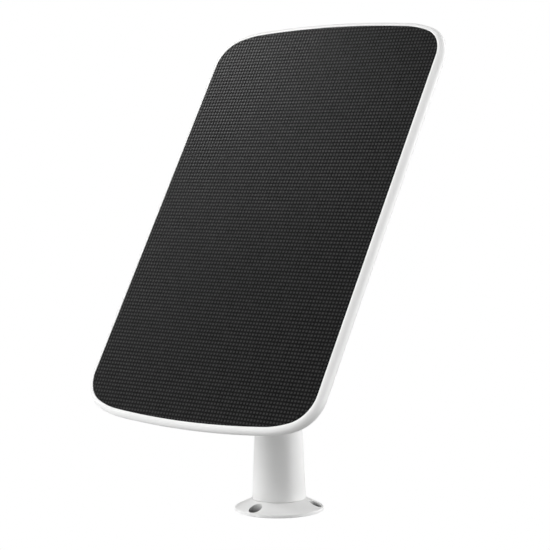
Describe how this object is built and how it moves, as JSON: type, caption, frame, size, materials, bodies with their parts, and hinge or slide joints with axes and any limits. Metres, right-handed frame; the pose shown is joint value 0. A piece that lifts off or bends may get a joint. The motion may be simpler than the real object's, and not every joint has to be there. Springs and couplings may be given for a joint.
{
  "type": "solar charging panel",
  "caption": "Small rectangular solar charging panel with a thin rounded frame on a tilting hinge, a tapered post and a round screw-down foot.",
  "frame": {"origin": "centre of the round foot's underside, where it meets the wall or the shelf", "axes": "+Z along the post, away from the surface it is screwed to; -Y the way the panel looks, tipped back so that its normal is 31 degrees above the horizon; +X to the right of someone facing the panel"},
  "size_m": [0.1654, 0.1367, 0.274],
  "materials": {
    "white_plastic": "satin, finely textured moulded plastic",
    "black_sheet": "satin laminate embossed with a grid of square dots",
    "solar_cell": "dark monocrystalline cell, glossy",
    "tinned_ribbon": "tinned copper ribbon",
    "laminate_board": "dark glass-fibre laminate",
    "circuit_board": "solder mask",
    "chip_plastic": "moulded component body",
    "component_ceramic": "fired ceramic capacitor body",
    "steel": "plated, satin",
    "brass": "machined",
    "rubber": "matt elastomer",
    "nylon": "natural nylon",
    "red_insulation": "wire insulation",
    "black_insulation": "wire insulation"
  },
  "bodies": {
    "foot": {"base_flange": "white_plastic", "foot_pad": "rubber", "friction_ring": "nylon"},
    "post": {"post_shell": "white_plastic", "swivel_plug": "nylon", "swivel_screw": "steel", "swivel_washer": "steel", "wave_washer": "steel", "pivot_bolt": "steel", "pivot_nut": "steel", "tilt_washer_right": "nylon", "tilt_washer_left": "nylon"},
    "hinge": {"hinge_head": "white_plastic", "mount_stud": "steel", "hub_pad": "rubber"},
    "panel": {"rear_housing": "white_plastic", "front_sheet": "black_sheet", "cell_01": "solar_cell", "cell_02": "solar_cell", "cell_03": "solar_cell", "cell_04": "solar_cell", "cell_05": "solar_cell", "cell_06": "solar_cell", "cell_07": "solar_cell", "cell_08": "solar_cell", "cell_09": "solar_cell", "cell_10": "solar_cell", "cell_11": "solar_cell", "cell_12": "solar_cell", "bus_ribbon_link": "tinned_ribbon", "bus_ribbon_positive": "tinned_ribbon", "bus_ribbon_negative": "tinned_ribbon", "cell_board": "laminate_board", "panel_gasket": "rubber", "thread_insert": "brass", "controller_board": "circuit_board", "inductor": "chip_plastic", "regulator_chip": "chip_plastic", "blocking_diode": "chip_plastic", "input_capacitor": "component_ceramic", "output_capacitor": "component_ceramic", "output_socket": "steel", "socket_tongue": "chip_plastic", "lead_positive": "red_insulation", "lead_negative": "black_insulation", "junction_cover": "white_plastic", "cover_gasket": "rubber", "cover_screw_1": "steel", "cover_screw_2": "steel", "cover_screw_3": "steel", "cover_screw_4": "steel", "board_screw_1": "steel", "board_screw_2": "steel"},
    "flap": {"port_flap": "rubber"}
  },
  "joints": [
    {"name": "post_pan", "type": "hinge", "parent": "foot", "child": "post", "pos_m": [0, 0, 0], "axis": [0, 0, 1], "continuous": true},
    {"name": "panel_tilt", "type": "hinge", "parent": "post", "child": "hinge", "pos_m": [0, 0, 0.13739], "axis": [-1, 0, 0], "range_deg": [-31, 59]},
    {"name": "panel_turn", "type": "hinge", "parent": "hinge", "child": "panel", "pos_m": [0, -0.0125, 0.1659], "axis": [0, -0.8572, 0.515], "range_deg": [-90, 90]},
    {"name": "flap_swing", "type": "hinge", "parent": "panel", "child": "flap", "pos_m": [0.0304, 0.02534, 0.20383], "axis": [0, -0.8572, 0.515], "range_deg": [0, 100]}
  ]
}
